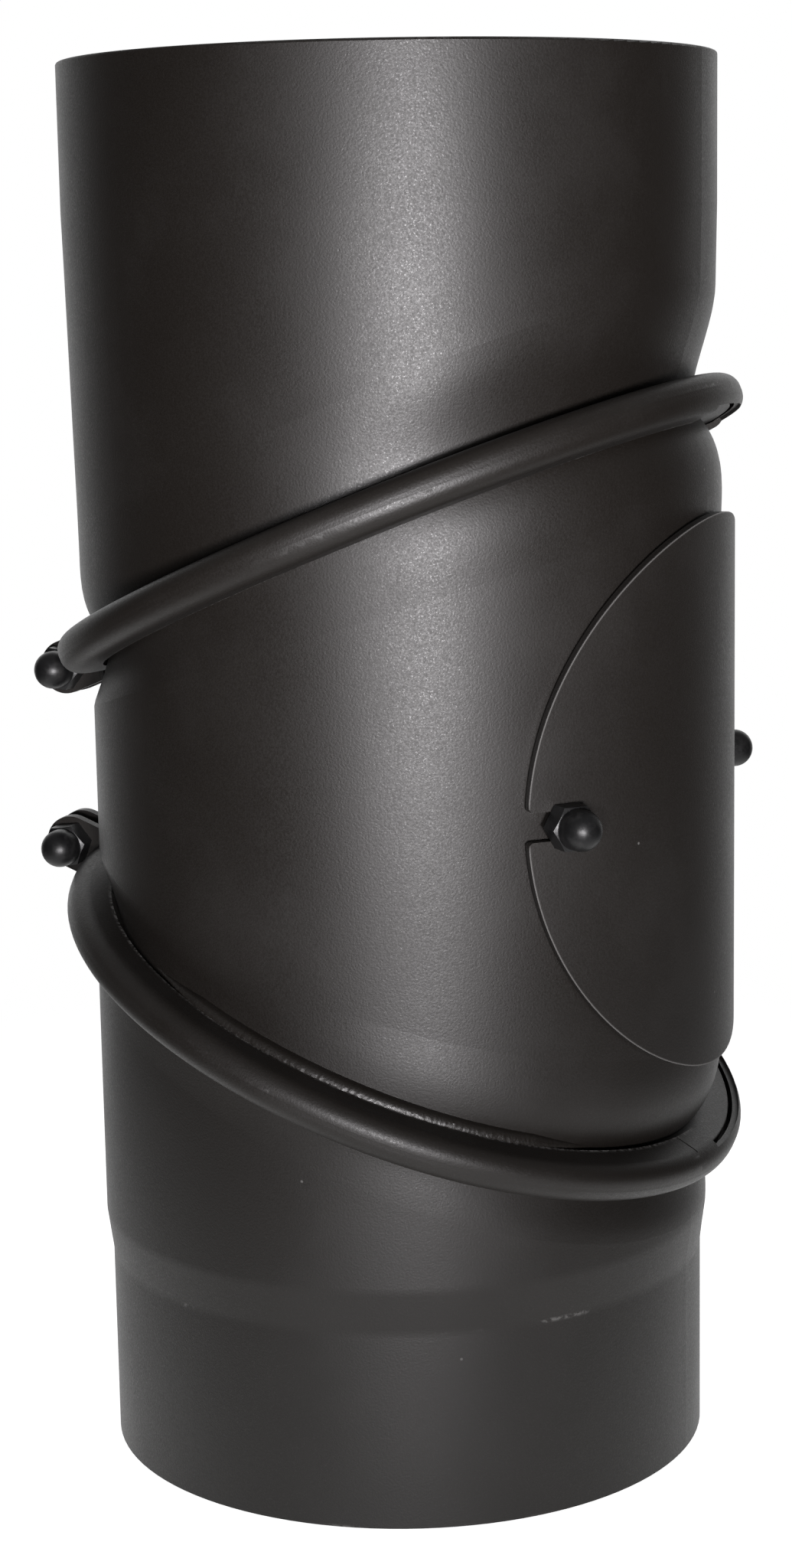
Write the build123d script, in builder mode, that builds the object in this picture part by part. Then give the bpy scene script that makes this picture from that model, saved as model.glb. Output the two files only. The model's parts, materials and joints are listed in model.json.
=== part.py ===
from build123d import *
import os
from dataclasses import dataclass
from math import cos, pi, radians, sin, sqrt, tan

# Adjustable stove pipe elbow: three lengths of pipe joined by two swivels that lie on oblique planes.
# The lower pipe stands on +Z with its spigot's mouth at the origin, and the cleaning door faces +X.

# Pipes, as outside radii
SHEET = 2.0
TOTAL_HEIGHT = 340.0
SPIGOT_RADIUS = 74.8
SPIGOT_LENGTH = 48.0
SWAGE_LENGTH = 10.5
PIPE_BEND = 14.0
LOWER_RADIUS = 76.2
MIDDLE_RADIUS = 77.3
MIDDLE_OFFSET = 2.7
TAPER_RADIUS = 76.7
SOCKET_RADIUS = 78.75
SOCKET_DEPTH = 35.0
RIM_EDGE = 0.6

# Swivel joints; the middle pipe's necks are longer on its long side, so they start on a plane that leans less
MITRE = radians(22.5)
JOINT_OFFSET = 1.5
LOWER_JOINT_HEIGHT = 109.85
JOINT_SPAN = 118.55
NECK_FLARE = 0.2
NECK_LENGTH = 25.0
NECK_BLEND = 2.0
MIDDLE_NECK_LENGTH = 20.0
MIDDLE_NECK_LEAN = 4.9
MIDDLE_NECK_BLEND = 1.5
NECK_STEPS = 8
SWAGE_ROOM = 1.5
FLANGE_WIDTH = 7.9
FLANGE_EDGE = 0.5
SEAL_THICKNESS = 1.6
SEAL_WIDTH = 7.0
SWIVEL_GAP = 0.3

# Clamp bands
BAND_SHEET = 1.5
BAND_ROOM = 2.4
BAND_SLOPE = radians(3.0)
BAND_CORNER = 4.2
BAND_CLEARANCE = 0.3
LIP_CLEARANCE = 2.5
LIP_NOTCH_START = radians(-2.0)
LIP_NOTCH_END = radians(38.0)
SLIT_ANGLE = -9.0
SLIT_WIDTH = 0.5
SLIT_LENGTH = 6.5
CLASP_TURN = 5.0
LUG_GAP = 5.0
LUG_SHEET = 2.5
LUG_WIDTH = 13.6
LUG_REACH = 6.8

# Metric fasteners
THREAD_RADIUS = 3.0
THREAD_FIT = 0.05
BOLT_CLEARANCE = 0.4
HEX_FLATS = 10.0
HEX_BEVEL = 0.9
HEAD_HEIGHT = 4.0
NUT_HEX_HEIGHT = 5.2
NUT_DOME_RADIUS = 4.75
NUT_HEIGHT = 12.0
NUT_THREAD_DEPTH = 9.0
THREAD_TIP = 0.7

# Cleaning door, a disc cut flat and rolled to the pipe
DOOR_DISC_RADIUS = 66.0
DOOR_DROP = 1.75
DOOR_SHEET = 2.0
DOOR_GAP = 1.3
NOTCH_CORNER = 1.2
GASKET_WIDTH = 7.0
GASKET_INSET = 1.0
GASKET_GAP = 0.3
STUD_ANGLE = 41.0
STUD_ROOM = 1.2
NUT_SEAT = 0.3
OUTLINE_POINTS = 36

# Values worked out from the sizes above
UPPER_JOINT_HEIGHT = LOWER_JOINT_HEIGHT + JOINT_SPAN
NECK_RADIUS = MIDDLE_RADIUS + NECK_FLARE
FLANGE_RADIUS = NECK_RADIUS + FLANGE_WIDTH
FLANGE_FACE = (SEAL_THICKNESS + SWIVEL_GAP) / 2
FLANGE_BACK = FLANGE_FACE + SHEET
LIP_RADIUS = NECK_RADIUS + LIP_CLEARANCE
BAND_WALL = FLANGE_RADIUS + BAND_ROOM
BAND_RADIUS = BAND_WALL + BAND_SHEET
BAND_FACE = 2 * (
    FLANGE_BACK + BAND_CLEARANCE + BAND_SHEET / cos(BAND_SLOPE)
    - tan(BAND_SLOPE) * (BAND_RADIUS - FLANGE_RADIUS)
)
BAND_MOUTH = BAND_FACE + 2 * tan(BAND_SLOPE) * (BAND_RADIUS - LIP_RADIUS)
BAND_DEPTH = BAND_RADIUS - LIP_RADIUS + BAND_SHEET
BOLT_RADIUS = BAND_RADIUS + LUG_REACH
BOLT_HOLE = THREAD_RADIUS + BOLT_CLEARANCE
BAND_SPLIT = LUG_GAP + 2 * LUG_SHEET
HEX_CORNER = HEX_FLATS / sqrt(3)
SWAGE_TOP = SPIGOT_LENGTH + SWAGE_LENGTH
SOCKET_BASE = TOTAL_HEIGHT - SOCKET_DEPTH
LOWER_SHORT_SIDE = LOWER_JOINT_HEIGHT - (LOWER_RADIUS - JOINT_OFFSET) * tan(MITRE)
LOWER_NECK_LENGTH = (LOWER_SHORT_SIDE - SWAGE_TOP - SWAGE_ROOM) * cos(MITRE)
TAPER_BASE = UPPER_JOINT_HEIGHT - MIDDLE_RADIUS * tan(MITRE)
TAPER = (SOCKET_RADIUS - TAPER_RADIUS) / (SOCKET_BASE - TAPER_BASE)
PIPE_REACH = 2 * MIDDLE_RADIUS * tan(MITRE)
DOOR_HEIGHT = LOWER_JOINT_HEIGHT + JOINT_SPAN / 2 - DOOR_DROP
DOOR_INSIDE = MIDDLE_RADIUS + DOOR_GAP
DOOR_RADIUS = DOOR_INSIDE + DOOR_SHEET
DOOR_NEUTRAL = DOOR_INSIDE + DOOR_SHEET / 2
NOTCH_RUN = DOOR_DISC_RADIUS / 2
NOTCH_FLARE = BOLT_HOLE + NOTCH_CORNER
NOTCH_RIM = (
    DOOR_NEUTRAL * sin(DOOR_DISC_RADIUS / DOOR_NEUTRAL - radians(STUD_ANGLE))
    - NOTCH_FLARE**2 / DOOR_DISC_RADIUS / 2
)
GASKET_OUTER = DOOR_NEUTRAL * radians(STUD_ANGLE) - THREAD_RADIUS - STUD_ROOM
GASKET_INNER = GASKET_OUTER - GASKET_WIDTH
OPENING_RADIUS = GASKET_INNER - GASKET_INSET
STUD_LENGTH = DOOR_RADIUS + NUT_SEAT + NUT_THREAD_DEPTH - MIDDLE_RADIUS - THREAD_TIP

lower_joint = Plane(
    origin=(JOINT_OFFSET, 0, LOWER_JOINT_HEIGHT),
    x_dir=(cos(MITRE), 0, -sin(MITRE)),
    z_dir=(sin(MITRE), 0, cos(MITRE)),
)
upper_joint = Plane(
    origin=(JOINT_OFFSET, 0, UPPER_JOINT_HEIGHT),
    x_dir=(cos(MITRE), 0, sin(MITRE)),
    z_dir=(-sin(MITRE), 0, cos(MITRE)),
)


@dataclass
class PipeWall:
    """Round wall about an upright axis, whose radius may grow with the height."""

    axis_x: float
    radius: float
    datum: float = 0
    growth: float = 0

    def radius_at(self, height):
        """Radius of the wall at a height."""
        return self.radius + (height - self.datum) * self.growth

    def cut(self, section):
        """Ellipse in which the wall meets a slanted section: its centre and two semi-axes."""
        rise = section.x_dir.Z / section.x_dir.X
        height = section.origin.Z + (self.axis_x - section.origin.X) * rise
        radius = self.radius_at(height)
        skew = self.growth * rise
        shape = 1 - skew * skew
        shift = radius * skew / shape
        centre = section.to_local_coords(Vector(self.axis_x + shift, 0, height + shift * rise))
        return centre.X, radius / shape / section.x_dir.X, radius / sqrt(shape)


@dataclass
class Neck:
    """How a pipe's end draws in toward a joint; side is 1 above the joint and -1 below it."""

    joint: Plane
    side: int
    length: float
    blend: float
    lean: float = 0

    def section(self, share):
        """Plane across the neck, from its start at share 0 to the back of its flange at share 1."""
        distance = self.length - (self.length - FLANGE_BACK) * share
        turn = Rotation(0, -self.side * self.lean * (1 - share), 0)
        return Plane(self.joint.offset(self.side * distance).location * turn)

    def core(self, wall, neck_radius):
        """Solid that draws the wall's oblique ellipse in to the true circle that the swivel needs."""
        with BuildPart() as core:
            for step in range(NECK_STEPS + 1):
                share = step / NECK_STEPS
                weight = share**self.blend
                section = self.section(share)
                centre, long_radius, short_radius = wall.cut(section)
                with BuildSketch(section):
                    with Locations((centre * (1 - weight), 0)):
                        Ellipse(
                            long_radius * (1 - weight) + neck_radius * weight,
                            short_radius * (1 - weight) + neck_radius * weight,
                        )
            loft()
        return core.part

    def trim(self):
        """Cut the pipe of the current builder off where the neck starts."""
        split(bisect_by=self.section(0), keep=Keep.TOP if self.side > 0 else Keep.BOTTOM)


lower_neck = Neck(lower_joint, -1, LOWER_NECK_LENGTH, NECK_BLEND)
upper_neck = Neck(upper_joint, 1, NECK_LENGTH, NECK_BLEND)
middle_necks = (
    Neck(lower_joint, 1, MIDDLE_NECK_LENGTH, MIDDLE_NECK_BLEND, MIDDLE_NECK_LEAN),
    Neck(upper_joint, -1, MIDDLE_NECK_LENGTH, MIDDLE_NECK_BLEND, MIDDLE_NECK_LEAN),
)


def end_core(profile, bends, wall, neck, neck_radius):
    """Solid of an end pipe: a turned profile with soft bends, cut at the joint's slant, and its neck."""
    with BuildPart() as core:
        with BuildSketch(Plane.XZ):
            with BuildLine():
                outline = Polyline(*profile, close=True)
                fillet(outline.vertices().filter_by_position(Axis.Y, *bends), PIPE_BEND)
            make_face()
        revolve(axis=Axis.Z)
        neck.trim()
        add(neck.core(wall, neck_radius))
    return core.part


def lower_core(inset):
    """Solid of the lower pipe, from the spigot through the swage and body to the neck."""
    wall = PipeWall(0, LOWER_RADIUS - inset)
    top = LOWER_JOINT_HEIGHT + PIPE_REACH
    profile = [
        (0, 0),
        (SPIGOT_RADIUS - inset, 0),
        (SPIGOT_RADIUS - inset, SPIGOT_LENGTH),
        (wall.radius, SWAGE_TOP),
        (wall.radius, top),
        (0, top),
    ]
    swage = (SPIGOT_LENGTH, SWAGE_TOP)
    return end_core(profile, swage, wall, lower_neck, NECK_RADIUS - inset)


def upper_core(inset):
    """Solid of the upper pipe, from the neck through a slight taper to the socket."""
    wall = PipeWall(0, TAPER_RADIUS - inset, TAPER_BASE, TAPER)
    base = UPPER_JOINT_HEIGHT - PIPE_REACH
    profile = [
        (0, base),
        (wall.radius_at(base), base),
        (SOCKET_RADIUS - inset, SOCKET_BASE),
        (SOCKET_RADIUS - inset, TOTAL_HEIGHT),
        (0, TOTAL_HEIGHT),
    ]
    shoulder = (SOCKET_BASE, SOCKET_BASE)
    return end_core(profile, shoulder, wall, upper_neck, NECK_RADIUS - inset)


def middle_core(inset):
    """Solid of the middle pipe, cut at both joints' slants, with a neck at each end."""
    wall = PipeWall(MIDDLE_OFFSET, MIDDLE_RADIUS - inset)
    with BuildPart() as core:
        with BuildSketch(Plane.XY.offset(LOWER_JOINT_HEIGHT - PIPE_REACH)):
            with Locations((MIDDLE_OFFSET, 0)):
                Circle(wall.radius)
        extrude(amount=JOINT_SPAN + 2 * PIPE_REACH)
        for neck in middle_necks:
            neck.trim()
        for neck in middle_necks:
            add(neck.core(wall, NECK_RADIUS - inset))
    return core.part


def flange_core(joint, side):
    """Flat flange turned out from a neck's end."""
    with BuildPart() as core:
        with BuildSketch(joint.offset(side * FLANGE_FACE)):
            Circle(FLANGE_RADIUS)
        extrude(amount=side * SHEET)
        fillet(core.edges().filter_by(GeomType.CIRCLE), FLANGE_EDGE)
    return core.part


def mouth_core(joint, side):
    """Bore through a flange."""
    with BuildPart() as core:
        with BuildSketch(joint.offset(side * FLANGE_BACK)):
            Circle(NECK_RADIUS - SHEET)
        extrude(amount=-side * FLANGE_BACK)
    return core.part


def rolled_outline(disc_radius, reach):
    """Points where radial lines through a rolled disc's rim meet the plane that lies reach out from the axis."""
    points = []
    for index in range(OUTLINE_POINTS):
        turn = 2 * pi * index / OUTLINE_POINTS
        angle = disc_radius * cos(turn) / DOOR_NEUTRAL
        points.append((reach * tan(angle), disc_radius * sin(turn)))
    return points


def rolled_disc(disc_radius):
    """Solid with radial walls that trims a pipe's wall to a disc of this radius before rolling."""
    widest = disc_radius / DOOR_NEUTRAL
    reaches = (DOOR_INSIDE * cos(widest) - 2 * SHEET, DOOR_RADIUS + SHEET)
    turns = [index / OUTLINE_POINTS for index in range(OUTLINE_POINTS + 1)]
    with BuildPart() as trim:
        for reach in reaches:
            plane = Plane(origin=(MIDDLE_OFFSET + reach, 0, DOOR_HEIGHT), x_dir=(0, 1, 0), z_dir=(1, 0, 0))
            with BuildSketch(plane):
                with BuildLine():
                    add(Edge.make_spline(rolled_outline(disc_radius, reach), periodic=True, parameters=turns))
                make_face()
        loft(ruled=True)
    return trim.part


def rolled_plate(inside, thickness, disc_radius):
    """Curved plate around the middle pipe's axis, trimmed to a rolled disc."""
    with BuildPart() as plate:
        with BuildSketch(Plane.XY.offset(DOOR_HEIGHT)):
            with Locations((MIDDLE_OFFSET, 0)):
                Circle(inside + thickness)
                Circle(inside, mode=Mode.SUBTRACT)
        extrude(amount=disc_radius + SHEET, both=True)
        add(rolled_disc(disc_radius), mode=Mode.INTERSECT)
    return plate.part


def hex_prism(plane, height):
    """Hexagonal prism with its outer corners bevelled."""
    with BuildPart() as prism:
        with BuildSketch(plane):
            RegularPolygon(HEX_CORNER, 6)
        extrude(amount=height)
        side = Plane(origin=plane.origin, x_dir=plane.x_dir, z_dir=-plane.y_dir)
        with BuildSketch(side):
            with BuildLine():
                Polyline(
                    (0, 0),
                    (HEX_CORNER, 0),
                    (HEX_CORNER, height - HEX_BEVEL / 2),
                    (HEX_CORNER - HEX_BEVEL, height),
                    (0, height),
                    close=True,
                )
            make_face()
        revolve(axis=Axis(plane.origin, plane.z_dir), mode=Mode.INTERSECT)
    return prism.part


def cap_nut(plane):
    """Domed cap nut that seats on the plane, with a blind bore."""
    shoulder = NUT_HEIGHT - NUT_DOME_RADIUS
    with BuildPart() as nut:
        add(hex_prism(plane, NUT_HEX_HEIGHT))
        side = Plane(origin=plane.origin, x_dir=plane.x_dir, z_dir=-plane.y_dir)
        with BuildSketch(side):
            with BuildLine():
                Polyline((0, NUT_HEIGHT), (0, 0), (NUT_DOME_RADIUS, 0), (NUT_DOME_RADIUS, shoulder))
                RadiusArc((NUT_DOME_RADIUS, shoulder), (0, NUT_HEIGHT), -NUT_DOME_RADIUS)
            make_face()
        revolve(axis=Axis(plane.origin, plane.z_dir))
        with BuildSketch(plane):
            Circle(THREAD_RADIUS + THREAD_FIT)
        extrude(amount=NUT_THREAD_DEPTH, mode=Mode.SUBTRACT)
    return nut.part


def write_node(part, name):
    """Label a finished piece and write it under its own name."""
    part.label = name
    export_step(part, f"parts/{name}.step")


os.makedirs("parts", exist_ok=True)

# Lower pipe: spigot, swage, body, neck and flange
with BuildPart() as lower_segment:
    add(lower_core(0))
    add(flange_core(lower_joint, -1))
    add(lower_core(SHEET), mode=Mode.SUBTRACT)
    add(mouth_core(lower_joint, -1), mode=Mode.SUBTRACT)
    spigot_rim = lower_segment.edges().filter_by(GeomType.CIRCLE).group_by(Axis.Z)[0]
    fillet(spigot_rim.sort_by(SortBy.RADIUS)[0], RIM_EDGE)
write_node(lower_segment.part, "lower_segment")

# Upper pipe: flange, neck, taper and socket
with BuildPart() as upper_segment:
    add(upper_core(0))
    add(flange_core(upper_joint, 1))
    add(upper_core(SHEET), mode=Mode.SUBTRACT)
    add(mouth_core(upper_joint, 1), mode=Mode.SUBTRACT)
    fillet(upper_segment.edges().filter_by(GeomType.CIRCLE).group_by(Axis.Z)[-1], RIM_EDGE)
write_node(upper_segment.part, "upper_segment")

# Middle pipe: a neck and flange at each end, and the cleaning opening in its long side
with BuildPart() as middle_segment:
    add(middle_core(0))
    add(flange_core(lower_joint, 1))
    add(flange_core(upper_joint, -1))
    add(middle_core(SHEET), mode=Mode.SUBTRACT)
    add(mouth_core(lower_joint, 1), mode=Mode.SUBTRACT)
    add(mouth_core(upper_joint, -1), mode=Mode.SUBTRACT)
    add(rolled_disc(OPENING_RADIUS), mode=Mode.SUBTRACT)
write_node(middle_segment.part, "middle_segment")

# Each swivel has a seal on the middle pipe's flange and a split clamp band with two lugs, a bolt and a cap nut
for level, joint, middle_side in (("lower", lower_joint, 1), ("upper", upper_joint, -1)):
    with BuildPart() as joint_seal:
        with BuildSketch(joint.offset(middle_side * FLANGE_FACE)):
            Circle(NECK_RADIUS - SHEET + SEAL_WIDTH)
            Circle(NECK_RADIUS - SHEET, mode=Mode.SUBTRACT)
        extrude(amount=-middle_side * SEAL_THICKNESS)
    write_node(joint_seal.part, f"{level}_joint_seal")

    clasp = Plane(joint.location * Rotation(0, 0, CLASP_TURN))
    band_section = Plane(origin=joint.origin, x_dir=clasp.x_dir, z_dir=-clasp.y_dir)
    with BuildPart() as clamp_band:
        with BuildSketch(band_section):
            with BuildLine():
                fold = Polyline(
                    (LIP_RADIUS, BAND_MOUTH / 2),
                    (BAND_RADIUS, BAND_FACE / 2),
                    (BAND_RADIUS, -BAND_FACE / 2),
                    (LIP_RADIUS, -BAND_MOUTH / 2),
                )
                fillet(fold.vertices()[1:3], BAND_CORNER)
                offset(amount=BAND_SHEET, side=Side.RIGHT)
            make_face()
        revolve(axis=Axis(joint.origin, joint.z_dir))
        with BuildSketch(band_section):
            with Locations((-BAND_RADIUS, 0)):
                Rectangle(2 * BAND_DEPTH, 2 * BAND_MOUTH)
        extrude(amount=BAND_SPLIT / 2, both=True, mode=Mode.SUBTRACT)
        with BuildSketch(joint.offset(middle_side * FLANGE_BACK)):
            with BuildLine():
                Polyline(
                    (0, 0),
                    (2 * BAND_RADIUS * cos(LIP_NOTCH_START), 2 * BAND_RADIUS * sin(LIP_NOTCH_START)),
                    (2 * BAND_RADIUS * cos(LIP_NOTCH_END), 2 * BAND_RADIUS * sin(LIP_NOTCH_END)),
                    close=True,
                )
            make_face()
            Circle(BAND_WALL, mode=Mode.INTERSECT)
            if level == "lower":
                with PolarLocations(LIP_RADIUS, 1, SLIT_ANGLE):
                    Rectangle(2 * SLIT_LENGTH, SLIT_WIDTH)
        extrude(amount=middle_side * BAND_MOUTH, mode=Mode.SUBTRACT)
    write_node(clamp_band.part, f"{level}_clamp_band")

    lug_plane = Plane(origin=joint.origin, x_dir=-clasp.x_dir, z_dir=clasp.y_dir)
    for place, side in (("front", -1), ("rear", 1)):
        with BuildPart() as clamp_lug:
            with BuildSketch(lug_plane.offset(side * LUG_GAP / 2)):
                with Locations(((BAND_WALL + BOLT_RADIUS) / 2, 0)):
                    Rectangle(BOLT_RADIUS - BAND_WALL, LUG_WIDTH)
                with Locations((BOLT_RADIUS, 0)):
                    Circle(LUG_WIDTH / 2)
                    Circle(BOLT_HOLE, mode=Mode.SUBTRACT)
            extrude(amount=side * LUG_SHEET)
        write_node(clamp_lug.part, f"{level}_clamp_lug_{place}")

    bolt_centre = clasp.from_local_coords(Vector(-BOLT_RADIUS, 0, 0))
    head_plane = Plane(
        origin=bolt_centre + clasp.y_dir * (BAND_SPLIT / 2), x_dir=clasp.z_dir, z_dir=clasp.y_dir
    )
    nut_plane = Plane(
        origin=bolt_centre - clasp.y_dir * (BAND_SPLIT / 2), x_dir=clasp.z_dir, z_dir=-clasp.y_dir
    )
    with BuildPart() as clamp_bolt:
        add(hex_prism(head_plane, HEAD_HEIGHT))
        with BuildSketch(head_plane):
            Circle(THREAD_RADIUS)
        extrude(amount=-(BAND_SPLIT + NUT_THREAD_DEPTH - THREAD_TIP))
        chamfer(clamp_bolt.edges().filter_by(GeomType.CIRCLE).group_by(Axis.Y)[0], THREAD_TIP)
    write_node(clamp_bolt.part, f"{level}_clamp_bolt")
    write_node(cap_nut(nut_plane), f"{level}_clamp_nut")

# Cleaning door, with an open notch at each side for a stud
stud_planes = {
    side: Plane(
        origin=(MIDDLE_OFFSET, 0, DOOR_HEIGHT),
        x_dir=(-sin(radians(angle)), cos(radians(angle)), 0),
        z_dir=(cos(radians(angle)), sin(radians(angle)), 0),
    )
    for side, angle in (("front", -STUD_ANGLE), ("rear", STUD_ANGLE))
}
with BuildPart() as cleaning_door:
    add(rolled_plate(DOOR_INSIDE, DOOR_SHEET, DOOR_DISC_RADIUS))
    for side, outward in (("front", -1), ("rear", 1)):
        with BuildSketch(stud_planes[side].offset(DOOR_INSIDE - DOOR_SHEET)) as notch:
            Circle(BOLT_HOLE)
            with Locations((outward * NOTCH_RUN / 2, 0)):
                Rectangle(NOTCH_RUN, 2 * BOLT_HOLE)
            with Locations((outward * (NOTCH_RIM + NOTCH_RUN / 2), 0)):
                Rectangle(NOTCH_RUN, 2 * (NOTCH_FLARE + NOTCH_CORNER))
            fillet(notch.vertices().sort_by_distance((outward * NOTCH_RIM, 0))[:2], NOTCH_CORNER)
        extrude(amount=3 * DOOR_SHEET, mode=Mode.SUBTRACT)
write_node(cleaning_door.part, "cleaning_door")

# Flat fibre gasket on the door's inside
with BuildPart() as door_gasket:
    add(rolled_plate(MIDDLE_RADIUS + GASKET_GAP, DOOR_GAP - GASKET_GAP, GASKET_OUTER))
    add(rolled_disc(GASKET_INNER), mode=Mode.SUBTRACT)
write_node(door_gasket.part, "door_gasket")

# Studs welded to the middle pipe, and the cap nuts that hold the door on them
for side, plane in stud_planes.items():
    with BuildPart() as door_stud:
        with BuildSketch(plane.offset(MIDDLE_RADIUS - SHEET)):
            Circle(THREAD_RADIUS)
        extrude(amount=STUD_LENGTH + SHEET)
        chamfer(door_stud.faces().sort_by(Axis(plane.origin, plane.z_dir))[-1].edges(), THREAD_TIP)
        with BuildSketch(Plane.XY):
            with Locations((MIDDLE_OFFSET, 0)):
                Circle(MIDDLE_RADIUS)
        extrude(amount=TOTAL_HEIGHT, mode=Mode.SUBTRACT)
    write_node(door_stud.part, f"door_stud_{side}")
    write_node(cap_nut(plane.offset(DOOR_RADIUS + NUT_SEAT)), f"door_nut_{side}")
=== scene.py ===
"""Studio scene of an adjustable stove pipe elbow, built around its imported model.

The pipes, clamps and cleaning door get their paint, steel and fibre finishes, the bolts and studs get
real threads, and a soft studio with a pale floor lights them from the photograph's angle.
"""

import json
import logging
import math
from collections.abc import Mapping, Sequence
from dataclasses import dataclass
from enum import Enum
from typing import Any, Protocol

import bmesh
import bpy
from mathutils import Matrix, Vector, noise


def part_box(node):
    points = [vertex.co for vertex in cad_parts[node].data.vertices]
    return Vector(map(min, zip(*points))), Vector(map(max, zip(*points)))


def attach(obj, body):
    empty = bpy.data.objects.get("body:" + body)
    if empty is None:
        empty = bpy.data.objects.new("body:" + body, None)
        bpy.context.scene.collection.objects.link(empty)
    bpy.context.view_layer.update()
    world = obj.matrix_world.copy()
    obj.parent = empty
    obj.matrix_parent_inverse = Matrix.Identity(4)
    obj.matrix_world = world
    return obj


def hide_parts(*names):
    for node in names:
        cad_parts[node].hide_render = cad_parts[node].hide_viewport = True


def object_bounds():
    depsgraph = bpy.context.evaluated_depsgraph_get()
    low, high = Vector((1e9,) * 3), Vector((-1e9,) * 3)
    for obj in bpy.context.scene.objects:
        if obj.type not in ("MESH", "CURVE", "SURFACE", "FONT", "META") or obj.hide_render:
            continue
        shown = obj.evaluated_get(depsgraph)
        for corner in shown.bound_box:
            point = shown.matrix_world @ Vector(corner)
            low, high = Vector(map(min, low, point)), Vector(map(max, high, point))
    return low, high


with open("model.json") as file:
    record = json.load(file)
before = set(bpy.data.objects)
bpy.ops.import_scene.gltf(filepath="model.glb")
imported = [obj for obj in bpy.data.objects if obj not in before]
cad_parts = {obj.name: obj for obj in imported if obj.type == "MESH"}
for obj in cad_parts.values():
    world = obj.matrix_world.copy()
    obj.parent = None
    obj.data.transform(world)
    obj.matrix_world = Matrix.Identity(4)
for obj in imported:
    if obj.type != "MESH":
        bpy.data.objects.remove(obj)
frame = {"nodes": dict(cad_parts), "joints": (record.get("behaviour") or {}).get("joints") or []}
CAD_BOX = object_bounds()

MM = 0.001
PHOTO_WIDTH = 1035
PHOTO_HEIGHT = 2048
LONG_SENSOR_SIDE = 36.0
WAVES_PER_UNIT = 3.2  # bands that Blender's wave texture draws in one unit at scale 1
SHARP_ANGLE = math.radians(32)

log = logging.getLogger("stove_pipe_elbow")

Colour = tuple[float, float, float]
Span = tuple[float, float]


class Signal:
    """A number that varies over a surface, with the operators of plain arithmetic."""

    def __init__(self, sheet: "ShaderSheet", socket: bpy.types.NodeSocket) -> None:
        """Wrap one socket of a sheet.

        Args:
            sheet: Node sheet that the socket belongs to.
            socket: Output socket that carries the number.
        """
        self.sheet = sheet
        self.socket = socket

    def _join(self, operation: str, first: "Signal | float", second: "Signal | float") -> "Signal":
        """Add the Math node of one operation.

        Args:
            operation: Blender's name of the operation.
            first: Value of the first socket.
            second: Value of the second socket.

        Returns:
            The node's result.
        """
        return self.sheet.number("ShaderNodeMath", {"operation": operation}, {0: first, 1: second})

    def __add__(self, other: "Signal | float") -> "Signal":
        """Sum of two values."""
        return self._join("ADD", self, other)

    def __radd__(self, other: float) -> "Signal":
        """Sum with a plain number on the left."""
        return self._join("ADD", other, self)

    def __sub__(self, other: "Signal | float") -> "Signal":
        """Difference of two values."""
        return self._join("SUBTRACT", self, other)

    def __rsub__(self, other: float) -> "Signal":
        """Difference with a plain number on the left."""
        return self._join("SUBTRACT", other, self)

    def __mul__(self, other: "Signal | float") -> "Signal":
        """Product of two values."""
        return self._join("MULTIPLY", self, other)

    def __rmul__(self, other: float) -> "Signal":
        """Product with a plain number on the left."""
        return self._join("MULTIPLY", other, self)

    def __pow__(self, other: "Signal | float") -> "Signal":
        """Power of a value."""
        return self._join("POWER", self, other)

    def distance(self, other: "Signal | float") -> "Signal":
        """How far the value is from another, without its sign."""
        return self.sheet.number("ShaderNodeMath", {"operation": "ABSOLUTE"}, {0: self - other})

    def step(self, low: float, high: float) -> "Signal":
        """Smooth step from 0 to 1.

        Args:
            low: Value at which the step leaves 0.
            high: Value at which it reaches 1; below low, the step runs the other way.

        Returns:
            The step's height.
        """
        settings = {"interpolation_type": "SMOOTHSTEP"}
        if low < high:
            return self.sheet.number("ShaderNodeMapRange", settings, {0: self, 1: low, 2: high})
        return 1 - self.sheet.number("ShaderNodeMapRange", settings, {0: self, 1: high, 2: low})


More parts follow.
